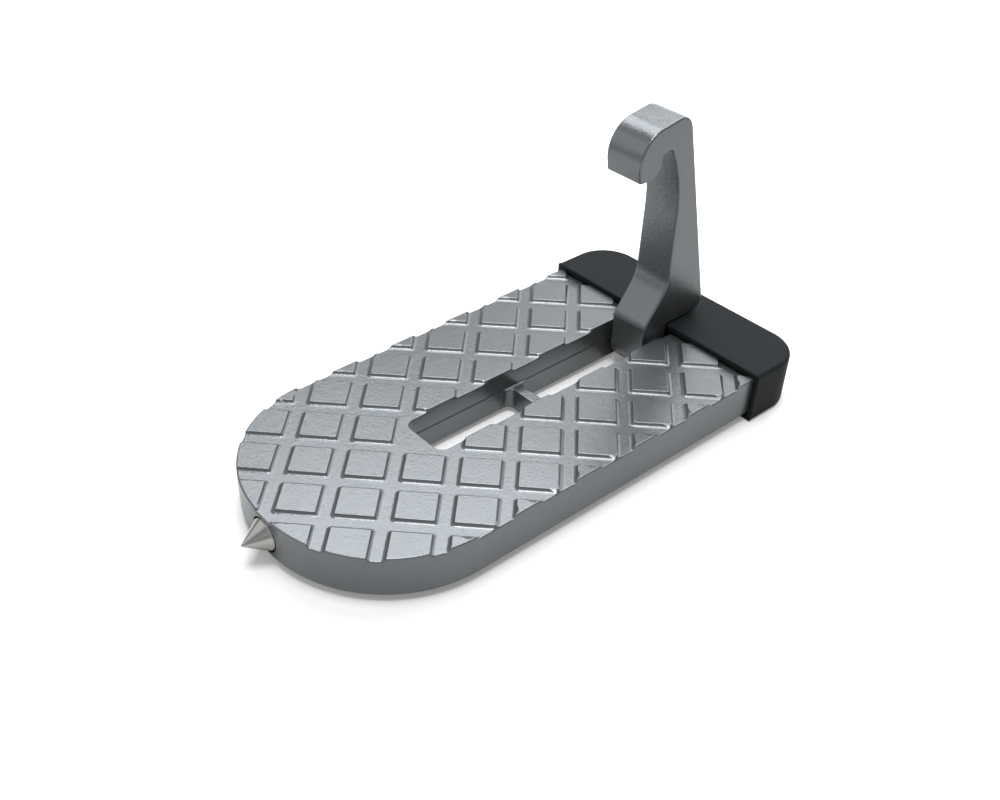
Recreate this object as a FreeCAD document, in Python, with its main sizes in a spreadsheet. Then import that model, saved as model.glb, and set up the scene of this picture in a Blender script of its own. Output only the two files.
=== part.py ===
import FreeCAD, Part

import math
import os

import Sketcher

# Folding step that hooks over the striker of a car door.
# Frame, in millimetres: +X across the plate, +Y from the rounded front to the capped back,
# +Z up. The origin is under the middle of the whole step, on the surface it stands on.

# Driving dimensions: name, value, meaning.
SIZES = [
    ("plate_width", "73.0", "tread plate, side to side"),
    ("plate_length", "146.8", "tread plate, front to back"),
    ("plate_thickness", "12.0", "underside to the tops of the tread pads"),
    ("front_flat", "3.0", "straight middle of the rounded front, where the hammer tip sits"),
    ("back_corner_radius", "9.5", "two back corners of the plate"),
    ("bottom_edge_radius", "1.5", "rounded lower edge of the plate"),
    ("deck_thickness", "3.5", "plate above the pockets of its underside"),
    ("side_wall", "3.0", "outer wall round the underside"),
    ("rib_thickness", "2.4", "ribs of the underside"),
    ("rib_pitch", "15.0", "widest spacing of the cross ribs"),
    ("rib_offset", "22.0", "long ribs, from the middle of the plate"),
    ("slot_width", "14.1", "slot for the folded hook, at mid height"),
    ("slot_from_front", "46.9", "front of the plate to the front of the slot"),
    ("slot_corner_radius", "2.5", "corners of the slot"),
    ("slot_draft", "1.0", "degrees that the slot opens above and below mid height"),
    ("slot_wall", "3.0", "wall round the slot on the underside"),
    ("web_from_slot_front", "35.8", "front of the slot to the cross web"),
    ("web_thickness", "3.4", "cross web that carries the folded hook"),
    ("web_fillet", "2.0", "where the cross web runs into the slot walls"),
    ("tread_pitch", "13.82", "spacing of the square pads, along their own sides"),
    ("tread_gap", "4.5", "groove between two pads, at its mouth"),
    ("tread_depth", "0.9", "height of a pad"),
    ("tread_flank", "25.0", "degrees that a pad's side leans"),
    ("tread_from_front", "29.7", "front of the plate to the first pad centred on it"),
    ("pin_radius", "2.5", "hinge pin"),
    ("pin_from_back", "21.5", "hinge pin to the back of the plate"),
    ("pin_running_gap", "0.05", "hinge pin in the hook, on the radius"),
    ("pin_press_gap", "0.01", "hinge pin in the plate, on the radius"),
    ("pin_end_inset", "0.4", "hinge pin below the side of the plate"),
    ("pin_past_slot", "10.0", "hinge pin beyond the slot on its blind side"),
    ("pin_chamfer", "0.4", "ends of the hinge pin"),
    ("hinge_block_half", "7.0", "solid block round the hinge pin, half its length"),
    ("knuckle_radius", "5.6", "round foot of the hook"),
    ("knuckle_space", "0.9", "round foot to the back of the slot"),
    ("hub_radius", "4.4", "raised boss each side of the hook's foot"),
    ("hub_side_gap", "0.3", "raised boss to the slot wall"),
    ("hook_width", "11.6", "hook, side to side"),
    ("step_height", "77.0", "ground to the top of the raised hook"),
    ("shank_setback", "1.7", "front of the shank behind the hinge pin"),
    ("foot_height", "17.3", "ground to the top of the foot"),
    ("shank_height", "27.5", "ground to the bottom of the straight shank"),
    ("foot_radius", "5.0", "bend at the top of the foot"),
    ("shank_radius", "10.0", "bend at the bottom of the shank"),
    ("throat_height", "4.8", "end of the nose down to the bend of the throat"),
    ("throat_lean", "26.0", "degrees that the throat leans forward"),
    ("throat_radius", "42.0", "bend of the throat"),
    ("mouth_height", "6.3", "end of the nose up to the top of the mouth"),
    ("mouth_opening", "8.8", "front of the shank to the inside of the nose"),
    ("mouth_radius", "1.7", "two upper corners of the mouth, where they have room"),
    ("mouth_flat", "0.2", "least straight stretch between the mouth's upper corners"),
    ("nose_height", "14.0", "end of the nose to the top of the hook"),
    ("nose_thickness", "4.7", "end of the nose, front to back"),
    ("nose_chamfer", "2.5", "inside edge of the nose's end"),
    ("nose_lean", "10.0", "degrees that the front of the nose leans"),
    ("nose_radius", "8.4", "round front of the nose"),
    ("nose_end_radius", "0.8", "lower front edge of the nose"),
    ("crown_slope", "9.0", "degrees that the top of the hook falls forward"),
    ("crown_setback", "1.9", "top back corner of the hook behind the hinge pin"),
    ("crown_radius", "4.5", "top back corner of the hook"),
    ("back_lean", "15.2", "degrees that the back of the hook leans"),
    ("heel_radius", "3.6", "back end of the heel"),
    ("heel_root_radius", "0.3", "where the heel leaves the foot"),
    ("knuckle_root_radius", "1.0", "where the foot leaves its round end"),
    ("heel_gap", "0.3", "heel above the cap it stops on"),
    ("cap_edge_gap", "0.3", "foot of the hook to the front edge of the cap"),
    ("hook_edge_chamfer", "0.4", "long edges of the hook"),
    ("cap_skin", "1.45", "top, bottom and sides of the cap"),
    ("cap_back", "2.95", "back wall of the cap"),
    ("cap_cover", "17.5", "length of plate that the cap covers"),
    ("cap_fit", "0.05", "cap to plate"),
    ("cap_edge_radius", "1.2", "rounded outer edges of the cap"),
    ("tip_reach", "6.2", "point of the hammer tip beyond the plate"),
    ("tip_radius", "4.3", "base of the hammer tip's cone"),
    ("tip_point_radius", "0.2", "blunted point"),
    ("tip_shank_radius", "3.0", "shank of the hammer tip"),
    ("tip_shank_length", "12.0", "shank of the hammer tip, behind its seat"),
    ("tip_seat_depth", "1.2", "recess that the cone's base sits in"),
    ("tip_seat_gap", "0.45", "cone's base to the wall of its recess"),
    ("tip_press_gap", "0.01", "shank of the hammer tip in its hole, on the radius"),
    ("tip_chamfer", "0.5", "inner end of the hammer tip's shank"),
    ("tip_hole_spare", "0.6", "hole beyond the end of the hammer tip's shank"),
    ("tip_boss_wall", "3.6", "plate round the hammer tip's hole"),
]

# Places that follow from the sizes: name and formula.
PLACES = [
    ("half_length", "=(sizes.tip_reach + sizes.plate_length + sizes.cap_fit + sizes.cap_back) / 2"),
    ("plate_front", "=sizes.tip_reach - half_length"),
    ("plate_back", "=plate_front + sizes.plate_length"),
    ("plate_bottom", "=sizes.cap_skin + sizes.cap_fit"),
    ("plate_top", "=plate_bottom + sizes.plate_thickness"),
    ("mid_height", "=plate_bottom + sizes.plate_thickness / 2"),
    ("half_thickness", "=sizes.plate_thickness / 2"),
    ("half_width", "=sizes.plate_width / 2"),
    ("front_radius", "=(sizes.plate_width - sizes.front_flat) / 2"),
    ("front_centre", "=plate_front + front_radius"),
    ("half_flat", "=sizes.front_flat / 2"),
    ("pocket_depth", "=sizes.plate_thickness - sizes.deck_thickness"),
    ("pocket_half_width", "=half_width - sizes.side_wall"),
    ("pocket_front_radius", "=front_radius - sizes.side_wall"),
    ("pocket_back", "=plate_back - sizes.side_wall"),
    ("pocket_back_radius", "=sizes.back_corner_radius - sizes.side_wall"),
    ("wall_middle", "=sizes.side_wall / 2"),
    ("slot_half", "=sizes.slot_width / 2"),
    ("slot_front", "=plate_front + sizes.slot_from_front"),
    ("pin_y", "=plate_back - sizes.pin_from_back"),
    ("slot_back", "=pin_y + sizes.knuckle_radius + sizes.knuckle_space"),
    ("wall_outside", "=slot_half + sizes.slot_wall"),
    ("wall_front", "=slot_front - sizes.slot_wall"),
    ("wall_back", "=slot_back + sizes.slot_wall"),
    ("web_front", "=slot_front + sizes.web_from_slot_front"),
    ("web_back", "=web_front + sizes.web_thickness"),
    ("web_reach", "=slot_half + sizes.slot_wall / 2"),
    ("block_front", "=pin_y - sizes.hinge_block_half"),
    ("block_back", "=pin_y + sizes.hinge_block_half"),
    ("rib_reach", "=half_width - wall_middle"),
    ("rib_half", "=sizes.rib_thickness / 2"),
    ("rib_start", "=slot_front - sizes.slot_wall / 2"),
    ("rib_bays", "=ceil((block_front - rib_start) / sizes.rib_pitch)"),
    ("rib_step", "=(block_front - rib_start) / rib_bays"),
    ("front_bays", "=floor((rib_start - plate_front) / rib_step - 0.5)"),
    ("long_rib_edge", "=sizes.rib_offset + rib_half - half_flat"),
    ("long_rib_front", "=front_centre - sqrt(front_radius ^ 2 - long_rib_edge ^ 2) + wall_middle"),
    ("inner_rib_edge", "=wall_outside - half_flat"),
    ("inner_rib_front", "=front_centre - sqrt(front_radius ^ 2 - inner_rib_edge ^ 2) + wall_middle"),
    ("rib_back", "=pocket_back + wall_middle"),
    ("tread_y", "=plate_front + sizes.tread_from_front"),
    ("front_span", "=front_radius + (half_flat - (front_centre - tread_y)) / sqrt(2)"),
    ("back_square", "=half_width + plate_back - tread_y - 2 * sizes.back_corner_radius"),
    ("back_span", "=sizes.back_corner_radius + back_square / sqrt(2)"),
    ("grooves_ahead", "=floor((front_span + sizes.tread_gap / 2) / sizes.tread_pitch + 0.5)"),
    ("grooves_behind", "=floor((back_span + sizes.tread_gap / 2) / sizes.tread_pitch + 0.5)"),
    ("groove_lean", "=sizes.tread_depth * tan(sizes.tread_flank)"),
    ("groove_floor", "=sizes.tread_gap / 2 - groove_lean"),
    ("groove_rim", "=sizes.tread_gap / 2 + groove_lean"),
    ("pin_hole_radius", "=sizes.pin_radius + sizes.pin_press_gap"),
    ("pin_low_x", "=sizes.pin_end_inset - half_width"),
    ("pin_high_x", "=slot_half + sizes.pin_past_slot"),
    ("pin_length", "=pin_high_x - pin_low_x"),
    ("pin_hole_length", "=pin_high_x + half_width"),
    ("hook_bore_radius", "=sizes.pin_radius + sizes.pin_running_gap"),
    ("hub_width", "=sizes.slot_width - 2 * sizes.hub_side_gap"),
    ("cap_front", "=plate_back - sizes.cap_cover"),
    ("cap_rear", "=plate_back + sizes.cap_fit + sizes.cap_back"),
    ("cap_inside_back", "=plate_back + sizes.cap_fit"),
    ("cap_inside_half", "=half_width + sizes.cap_fit"),
    ("cap_half", "=cap_inside_half + sizes.cap_skin"),
    ("cap_height", "=plate_top + sizes.cap_fit + sizes.cap_skin"),
    ("cap_inside_height", "=sizes.plate_thickness + 2 * sizes.cap_fit"),
    ("cap_inside_radius", "=sizes.back_corner_radius + sizes.cap_fit"),
    ("cap_radius", "=cap_inside_radius + sizes.cap_skin"),
    ("cap_mouth_radius", "=sizes.cap_skin"),
    ("foot_front", "=pin_y - sizes.knuckle_radius"),
    ("foot_back", "=cap_front - sizes.cap_edge_gap"),
    ("knuckle_rise", "=sqrt(sizes.knuckle_radius ^ 2 - (foot_back - pin_y) ^ 2)"),
    ("knuckle_root", "=mid_height + knuckle_rise"),
    ("heel_bottom", "=cap_height + sizes.heel_gap"),
    ("shank_front", "=pin_y + sizes.shank_setback"),
    ("nose_end", "=sizes.step_height - sizes.nose_height"),
    ("mouth_top", "=nose_end + sizes.mouth_height"),
    ("throat", "=nose_end - sizes.throat_height"),
    ("mouth_back", "=shank_front - (mouth_top - throat) * tan(sizes.throat_lean)"),
    ("mouth_front", "=shank_front - sizes.mouth_opening"),
    ("mouth_room", "=(mouth_back - mouth_front) / (1 + tan(45 - sizes.throat_lean / 2))"),
    ("mouth_bend", "=min(sizes.mouth_radius; mouth_room - sizes.mouth_flat)"),
    ("nose_inside", "=mouth_front - sizes.nose_chamfer"),
    ("nose_chamfer_top", "=nose_end + sizes.nose_chamfer"),
    ("nose_front", "=nose_inside - sizes.nose_thickness"),
    ("crown_back", "=pin_y + sizes.crown_setback"),
    ("crown_sum", "=cos(sizes.crown_slope) + sin(sizes.back_lean)"),
    ("crown_share", "=crown_sum / (1 + sin(sizes.back_lean - sizes.crown_slope))"),
    ("crown_height", "=sizes.step_height - sizes.crown_radius * (1 - crown_share)"),
    ("crown_fall", "=(crown_back - nose_front) * tan(sizes.crown_slope)"),
    ("nose_share", "=1 + tan(sizes.nose_lean) * tan(sizes.crown_slope)"),
    ("nose_rise", "=(crown_height - crown_fall - nose_end) / nose_share"),
    ("nose_top", "=nose_end + nose_rise"),
    ("nose_top_front", "=nose_front - nose_rise * tan(sizes.nose_lean)"),
    ("heel_back", "=crown_back + (crown_height - heel_bottom) * tan(sizes.back_lean)"),
    ("tip_seat", "=plate_front + sizes.tip_seat_depth"),
    ("tip_shank_end", "=tip_seat + sizes.tip_shank_length"),
    ("tip_point", "=plate_front - sizes.tip_reach"),
    ("tip_seat_radius", "=sizes.tip_radius + sizes.tip_seat_gap"),
    ("tip_hole_radius", "=sizes.tip_shank_radius + sizes.tip_press_gap"),
    ("boss_half", "=tip_hole_radius + sizes.tip_boss_wall"),
    ("tip_hole_end", "=tip_shank_end + sizes.tip_hole_spare"),
    ("boss_back", "=tip_hole_end + sizes.tip_boss_wall"),
]

ORIGIN = -1
START, END, CENTRE = 1, 2, 3
UPRIGHT = FreeCAD.Vector(0, 1, 0)
NORMAL = FreeCAD.Vector(0, 0, 1)
QUARTER_TURN = 90.0


def fill_sheet(doc, name, rows):
    """Make a sheet whose cells hold the second item of each row under the first as alias."""
    sheet = doc.addObject("Spreadsheet::Sheet", name)
    for number, row in enumerate(rows, start=1):
        cell = f"B{number}"
        sheet.set(f"A{number}", row[0])
        sheet.set(cell, row[1])
        sheet.setAlias(cell, row[0])
        if len(row) > 2:
            sheet.set(f"C{number}", row[2])
    doc.recompute()
    return sheet


def new_body(doc, label):
    body = doc.addObject("PartDesign::Body", label)
    body.Label = label
    return body


def new_sketch(body, name, plane, lift=None, along=None, turn=0.0, about=NORMAL):
    """Sketch on one of the body's origin planes, moved by places named in the sheets."""
    sketch = body.newObject("Sketcher::SketchObject", name)
    support = next(item for item in body.Origin.OriginFeatures if item.Role == plane)
    sketch.AttachmentSupport = [(support, "")]
    sketch.MapMode = "FlatFace"
    sketch.AttachmentOffset = FreeCAD.Placement(
        FreeCAD.Vector(0, 0, 0), FreeCAD.Rotation(about, turn))
    for axis, place in (("y", along), ("z", lift)):
        if place is not None:
            sketch.setExpression(f"AttachmentOffset.Base.{axis}", place)
    return sketch


def evaluate(sketch, formula):
    """Number that a formula of the sheets stands for, for a sketch's starting geometry."""
    return float(sketch.evalExpression(formula))


def bind(sketch, kind, where, formula):
    """Add a dimension to a sketch and tie it to a formula of the sheets."""
    index = sketch.addConstraint(Sketcher.Constraint(kind, *where, evaluate(sketch, formula)))
    name = f"size{index}"
    sketch.renameConstraint(index, name)
    sketch.setExpression(f"Constraints.{name}", formula)


def bind_point(sketch, item, end, x, y):
    bind(sketch, "DistanceX", (ORIGIN, 1, item, end), x)
    bind(sketch, "DistanceY", (ORIGIN, 1, item, end), y)


def draw_polygon(sketch, corners):
    """Closed outline of straight lines through corners given as pairs of formulas."""
    points = [FreeCAD.Vector(evaluate(sketch, x), evaluate(sketch, y), 0) for x, y in corners]
    count = len(points)
    lines = [sketch.addGeometry(Part.LineSegment(points[i], points[(i + 1) % count]))
             for i in range(count)]
    for i in range(count):
        following = lines[(i + 1) % count]
        sketch.addConstraint(Sketcher.Constraint("Coincident", lines[i], END, following, START))
    for item, (x, y) in zip(lines, corners):
        bind_point(sketch, item, START, x, y)


def draw_rectangle(sketch, low_x, high_x, low_y, high_y):
    draw_polygon(sketch, [(low_x, low_y), (high_x, low_y), (high_x, high_y), (low_x, high_y)])


def draw_circle(sketch, x, y, radius):
    centre = FreeCAD.Vector(evaluate(sketch, x), evaluate(sketch, y), 0)
    circle = Part.Circle(centre, NORMAL, evaluate(sketch, radius))
    item = sketch.addGeometry(circle)
    bind_point(sketch, item, CENTRE, x, y)
    bind(sketch, "Radius", (item,), radius)


def draw_rounded_box(sketch, corners):
    """Closed outline of four arcs joined by lines along X and Y.

    corners lists centre x, centre y and radius of the front right, back right, back left and
    front left arcs, as formulas.
    """
    arcs = []
    for step, (x, y, radius) in enumerate(corners):
        centre = FreeCAD.Vector(evaluate(sketch, x), evaluate(sketch, y), 0)
        circle = Part.Circle(centre, NORMAL, evaluate(sketch, radius))
        first = (step - 1) * math.pi / 2
        arcs.append(Part.ArcOfCircle(circle, first, first + math.pi / 2))
    items = [sketch.addGeometry(arc) for arc in arcs]
    for step in range(4):
        ahead = (step + 1) % 4
        side = sketch.addGeometry(Part.LineSegment(arcs[step].EndPoint, arcs[ahead].StartPoint))
        sketch.addConstraint(Sketcher.Constraint("Tangent", items[step], END, side, START))
        sketch.addConstraint(Sketcher.Constraint("Tangent", side, END, items[ahead], START))
    for item, (x, y, radius) in zip(items, corners):
        bind_point(sketch, item, CENTRE, x, y)
        bind(sketch, "Radius", (item,), radius)


def add_feature(body, kind, name, sketch, **settings):
    """Feature made from a sketch. Text settings are formulas, and the rest are plain values."""
    before = volume(body)
    feature = body.newObject(f"PartDesign::{kind}", name)
    feature.Profile = sketch
    for key, value in settings.items():
        if key in ("Length", "TaperAngle"):
            feature.setExpression(key, value)
        else:
            setattr(feature, key, value)
    body.Document.recompute()
    check_change(feature, before)
    return feature


def volume(body):
    tip = body.Tip
    return tip.Shape.Volume if tip is not None and not tip.Shape.isNull() else 0.0


def check_change(feature, before):
    """Stop where a feature is broken, or where it neither added nor removed anything."""
    if feature.Shape.isNull() or not feature.Shape.isValid():
        raise RuntimeError(f"{feature.Name} has no valid shape")
    after = feature.Shape.Volume
    cuts = feature.TypeId in ("PartDesign::Pocket", "PartDesign::Groove")
    if (cuts and after >= before) or (not cuts and abs(after - before) < 1e-9):
        raise RuntimeError(f"{feature.Name} changed nothing: {before} to {after}")


def dress(body, kind, name, base, edges, size, formula):
    """Fillet or chamfer the listed edges of base."""
    feature = body.newObject(f"PartDesign::{kind}", name)
    feature.Base = (base, edges)
    feature.setExpression(size, formula)
    body.Document.recompute()
    check_change(feature, base.Shape.Volume)
    return feature


def edges_where(shape, test):
    """Names of the edges whose bounding box passes a test."""
    return [f"Edge{number}" for number, edge in enumerate(shape.Edges, start=1)
            if test(edge.BoundBox)]


def near(first, second, reach=0.01):
    return abs(first - second) < reach


def plate_outline(sketch, half_width, front_radius, back, back_radius):
    """Rounded front and square back of the plate, the same for its outside and its pocket."""
    across = f"{half_width} - {back_radius}"
    along = f"{back} - {back_radius}"
    draw_rounded_box(sketch, [
        ("places.half_flat", "places.front_centre", front_radius),
        (across, along, back_radius),
        (f"-({across})", along, back_radius),
        ("-places.half_flat", "places.front_centre", front_radius),
    ])


def cut_tread(body, places, turn):
    """One of the two sets of grooves that leave the square pads, seen along the grooves."""
    side = "right" if turn < QUARTER_TURN else "left"
    sketch = new_sketch(body, f"groove_sketch_{side}", "XZ_Plane", lift="-places.tread_y",
                        turn=turn, about=UPRIGHT)
    for groove in range(-int(places.grooves_ahead), int(places.grooves_behind)):
        middle = f"({groove} + 0.5) * sizes.tread_pitch"
        draw_polygon(sketch, [
            (f"{middle} - places.groove_floor", "places.plate_top - sizes.tread_depth"),
            (f"{middle} + places.groove_floor", "places.plate_top - sizes.tread_depth"),
            (f"{middle} + places.groove_rim", "places.plate_top + sizes.tread_depth"),
            (f"{middle} - places.groove_rim", "places.plate_top + sizes.tread_depth"),
        ])
    add_feature(body, "Pocket", f"grooves_{side}", sketch, Type="ThroughAll",
                SideType="Symmetric")


def add_walls(body, name, rectangles):
    """Walls or ribs under the deck, as deep as the pocket and clear of one another."""
    sketch = new_sketch(body, f"{name}_sketch", "XY_Plane", lift="places.plate_bottom")
    for rectangle in rectangles:
        draw_rectangle(sketch, *rectangle)
    add_feature(body, "Pad", name, sketch, Length="places.pocket_depth")


def fill_underside(body, places):
    """Slot wall, boss of the hammer tip, ribs and hinge block inside the hollow underside."""
    add_walls(body, "slot_wall", [
        ("-places.wall_outside", "places.wall_outside", "places.wall_front", "places.wall_back"),
        ("-places.boss_half", "places.boss_half",
         "places.plate_front + places.wall_middle", "places.boss_back"),
    ])

    long_ribs = []
    for low, high, front in (
            ("places.wall_outside - sizes.rib_thickness", "places.wall_outside",
             "places.inner_rib_front"),
            ("sizes.rib_offset - places.rib_half", "sizes.rib_offset + places.rib_half",
             "places.long_rib_front")):
        long_ribs.append((low, high, front, "places.rib_back"))
        long_ribs.append((f"-({high})", f"-({low})", front, "places.rib_back"))
    add_walls(body, "long_ribs", long_ribs)

    cross_ribs = [("-places.rib_reach", "places.rib_reach",
                   "places.block_front", "places.block_back")]
    for bay in range(-int(places.front_bays), int(places.rib_bays)):
        middle = f"(places.rib_start + {bay} * places.rib_step)"
        reach = "places.rib_reach" if bay >= 0 else (
            f"(places.half_flat - places.wall_middle + sqrt(places.front_radius ^ 2"
            f" - (places.front_centre - {middle} + places.rib_half) ^ 2))")
        cross_ribs.append((f"-{reach}", reach, f"{middle} - places.rib_half",
                           f"{middle} + places.rib_half"))
    add_walls(body, "cross_ribs", cross_ribs)


def cut_slot(body, places):
    """Slot drafted both ways from mid height, and the low web left across it."""
    corner = "sizes.slot_corner_radius"
    across = f"places.slot_half - {corner}"
    for name, upward in (("slot_above", True), ("slot_below", False)):
        sketch = new_sketch(body, f"{name}_sketch", "XY_Plane", lift="places.mid_height")
        draw_rounded_box(sketch, [
            (across, f"places.slot_front + {corner}", corner),
            (across, f"places.slot_back - {corner}", corner),
            (f"-({across})", f"places.slot_back - {corner}", corner),
            (f"-({across})", f"places.slot_front + {corner}", corner),
        ])
        add_feature(body, "Pocket", name, sketch, Reversed=upward,
                    Length="places.half_thickness", TaperAngle="sizes.slot_draft")

    sketch = new_sketch(body, "web_sketch", "XY_Plane", lift="places.mid_height")
    draw_rectangle(sketch, "-places.web_reach", "places.web_reach",
                   "places.web_front", "places.web_back")
    web = add_feature(body, "Pad", "web", sketch, Reversed=True, Length="places.half_thickness")
    corners = edges_where(web.Shape, lambda box: box.ZLength > places.half_thickness / 2
                          and near(abs(box.Center.x), places.slot_half, places.wall_middle)
                          and (near(box.Center.y, places.web_front)
                               or near(box.Center.y, places.web_back)))
    dress(body, "Fillet", "web_corners", web, corners, "Radius", "sizes.web_fillet")


def make_plate(doc):
    """Cast tread plate: rounded front, square pads, slot, ribbed underside."""
    body = new_body(doc, "step_plate")
    places = doc.getObject("places")

    blank_sketch = new_sketch(body, "blank_sketch", "XY_Plane", lift="places.plate_bottom")
    plate_outline(blank_sketch, "places.half_width", "places.front_radius",
                  "places.plate_back", "sizes.back_corner_radius")
    blank = add_feature(body, "Pad", "blank", blank_sketch, Length="sizes.plate_thickness")
    lower = edges_where(blank.Shape, lambda box: near(box.ZMax, places.plate_bottom))
    dress(body, "Fillet", "lower_edge", blank, lower, "Radius", "sizes.bottom_edge_radius")

    pocket_sketch = new_sketch(body, "pocket_sketch", "XY_Plane", lift="places.plate_bottom")
    plate_outline(pocket_sketch, "places.pocket_half_width", "places.pocket_front_radius",
                  "places.pocket_back", "places.pocket_back_radius")
    add_feature(body, "Pocket", "underside_pocket", pocket_sketch, Reversed=True,
                Length="places.pocket_depth")
    fill_underside(body, places)
    cut_slot(body, places)

    pin_sketch = new_sketch(body, "pin_hole_sketch", "YZ_Plane", lift="places.pin_high_x")
    draw_circle(pin_sketch, "places.pin_y", "places.mid_height", "places.pin_hole_radius")
    add_feature(body, "Pocket", "pin_hole", pin_sketch, Length="places.pin_hole_length")

    for name, radius, end in (("tip_recess", "places.tip_seat_radius", "places.tip_seat"),
                              ("tip_hole", "places.tip_hole_radius", "places.tip_hole_end")):
        sketch = new_sketch(body, f"{name}_sketch", "XZ_Plane", lift="-places.tip_point")
        draw_circle(sketch, "0", "places.mid_height", radius)
        add_feature(body, "Pocket", name, sketch, Length=f"{end} - places.tip_point")

    for turn in (QUARTER_TURN / 2, 3 * QUARTER_TURN / 2):
        cut_tread(body, places, turn)

    return body


def make_hook(doc):
    """Cast hook: round foot on the pin, heel behind, leaning shank and the nose at the top."""
    body = new_body(doc, "hook")
    half = sheet_value(doc, "sizes.hook_width") / 2
    corners = {
        "foot_bend": ("places.foot_front", "sizes.foot_height", "sizes.foot_radius"),
        "shank_bend": ("places.shank_front", "sizes.shank_height", "sizes.shank_radius"),
        "throat_bend": ("places.shank_front", "places.throat", "sizes.throat_radius"),
        "mouth_back_bend": ("places.mouth_back", "places.mouth_top", "places.mouth_bend"),
        "mouth_front_bend": ("places.mouth_front", "places.mouth_top", "places.mouth_bend"),
        "nose_chamfer": ("places.mouth_front", "places.nose_chamfer_top", None),
        "nose_inside": ("places.nose_inside", "places.nose_end", None),
        "nose_end": ("places.nose_front", "places.nose_end", "sizes.nose_end_radius"),
        "nose_bend": ("places.nose_top_front", "places.nose_top", "sizes.nose_radius"),
        "crown": ("places.crown_back", "places.crown_height", "sizes.crown_radius"),
        "heel": ("places.heel_back", "places.heel_bottom", "sizes.heel_radius"),
        "heel_root": ("places.foot_back", "places.heel_bottom", "sizes.heel_root_radius"),
    }
    knuckle_root = ("places.foot_back", "places.knuckle_root", "sizes.knuckle_root_radius")
    foot = [("places.foot_back", "places.mid_height"), ("places.foot_front", "places.mid_height")]
    outline_sketch = new_sketch(body, "outline_sketch", "YZ_Plane")
    draw_polygon(outline_sketch, foot + [(y, z) for y, z, _ in corners.values()])
    add_feature(body, "Pad", "outline", outline_sketch, Length="sizes.hook_width",
                SideType="Symmetric")
    knuckle_sketch = new_sketch(body, "knuckle_sketch", "YZ_Plane")
    draw_circle(knuckle_sketch, "places.pin_y", "places.mid_height", "sizes.knuckle_radius")
    feature = add_feature(body, "Pad", "knuckle", knuckle_sketch, Length="sizes.hook_width",
                          SideType="Symmetric")

    for name, (y, z, radius) in (corners | {"knuckle_root": knuckle_root}).items():
        if radius is None:
            continue
        middle_y, middle_z = sheet_value(doc, y), sheet_value(doc, z)
        found = edges_where(feature.Shape, lambda box: box.XLength > half
                            and near(box.Center.y, middle_y) and near(box.Center.z, middle_z))
        feature = dress(body, "Fillet", name, feature, found, "Radius", radius)
    outlines = edges_where(feature.Shape, lambda box: near(abs(box.Center.x), half)
                           and box.XLength < half)
    dress(body, "Chamfer", "long_edges", feature, outlines, "Size", "sizes.hook_edge_chamfer")

    hub_sketch = new_sketch(body, "hub_sketch", "YZ_Plane")
    draw_circle(hub_sketch, "places.pin_y", "places.mid_height", "sizes.hub_radius")
    add_feature(body, "Pad", "hub", hub_sketch, Length="places.hub_width", SideType="Symmetric")
    bore_sketch = new_sketch(body, "bore_sketch", "YZ_Plane")
    draw_circle(bore_sketch, "places.pin_y", "places.mid_height", "places.hook_bore_radius")
    add_feature(body, "Pocket", "bore", bore_sketch, Type="ThroughAll", SideType="Symmetric")
    return body


def make_pin(doc):
    """Hinge pin, chamfered at both ends."""
    body = new_body(doc, "hinge_pin")
    sketch = new_sketch(body, "pin_sketch", "YZ_Plane", lift="places.pin_low_x")
    draw_circle(sketch, "places.pin_y", "places.mid_height", "sizes.pin_radius")
    shank = add_feature(body, "Pad", "pin_shank", sketch, Length="places.pin_length")
    ends = edges_where(shank.Shape, lambda box: box.XLength < sheet_value(doc, "sizes.pin_radius"))
    dress(body, "Chamfer", "pin_ends", shank, ends, "Size", "sizes.pin_chamfer")
    return body


def make_tip(doc):
    """Turned steel cone with its shank, on the axis of the plate's front hole."""
    body = new_body(doc, "hammer_tip")
    sketch = new_sketch(body, "tip_sketch", "YZ_Plane", along="places.mid_height")
    draw_polygon(sketch, [
        ("places.tip_point", "0"),
        ("places.tip_shank_end", "0"),
        ("places.tip_shank_end", "sizes.tip_shank_radius - sizes.tip_chamfer"),
        ("places.tip_shank_end - sizes.tip_chamfer", "sizes.tip_shank_radius"),
        ("places.tip_seat", "sizes.tip_shank_radius"),
        ("places.tip_seat", "sizes.tip_radius"),
        ("places.plate_front", "sizes.tip_radius"),
        ("places.tip_point", "sizes.tip_point_radius"),
    ])
    turned = body.newObject("PartDesign::Revolution", "turned")
    turned.Profile = sketch
    turned.ReferenceAxis = (sketch, ["H_Axis"])
    turned.Angle = 360
    doc.recompute()
    check_change(turned, 0.0)
    return body


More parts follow.
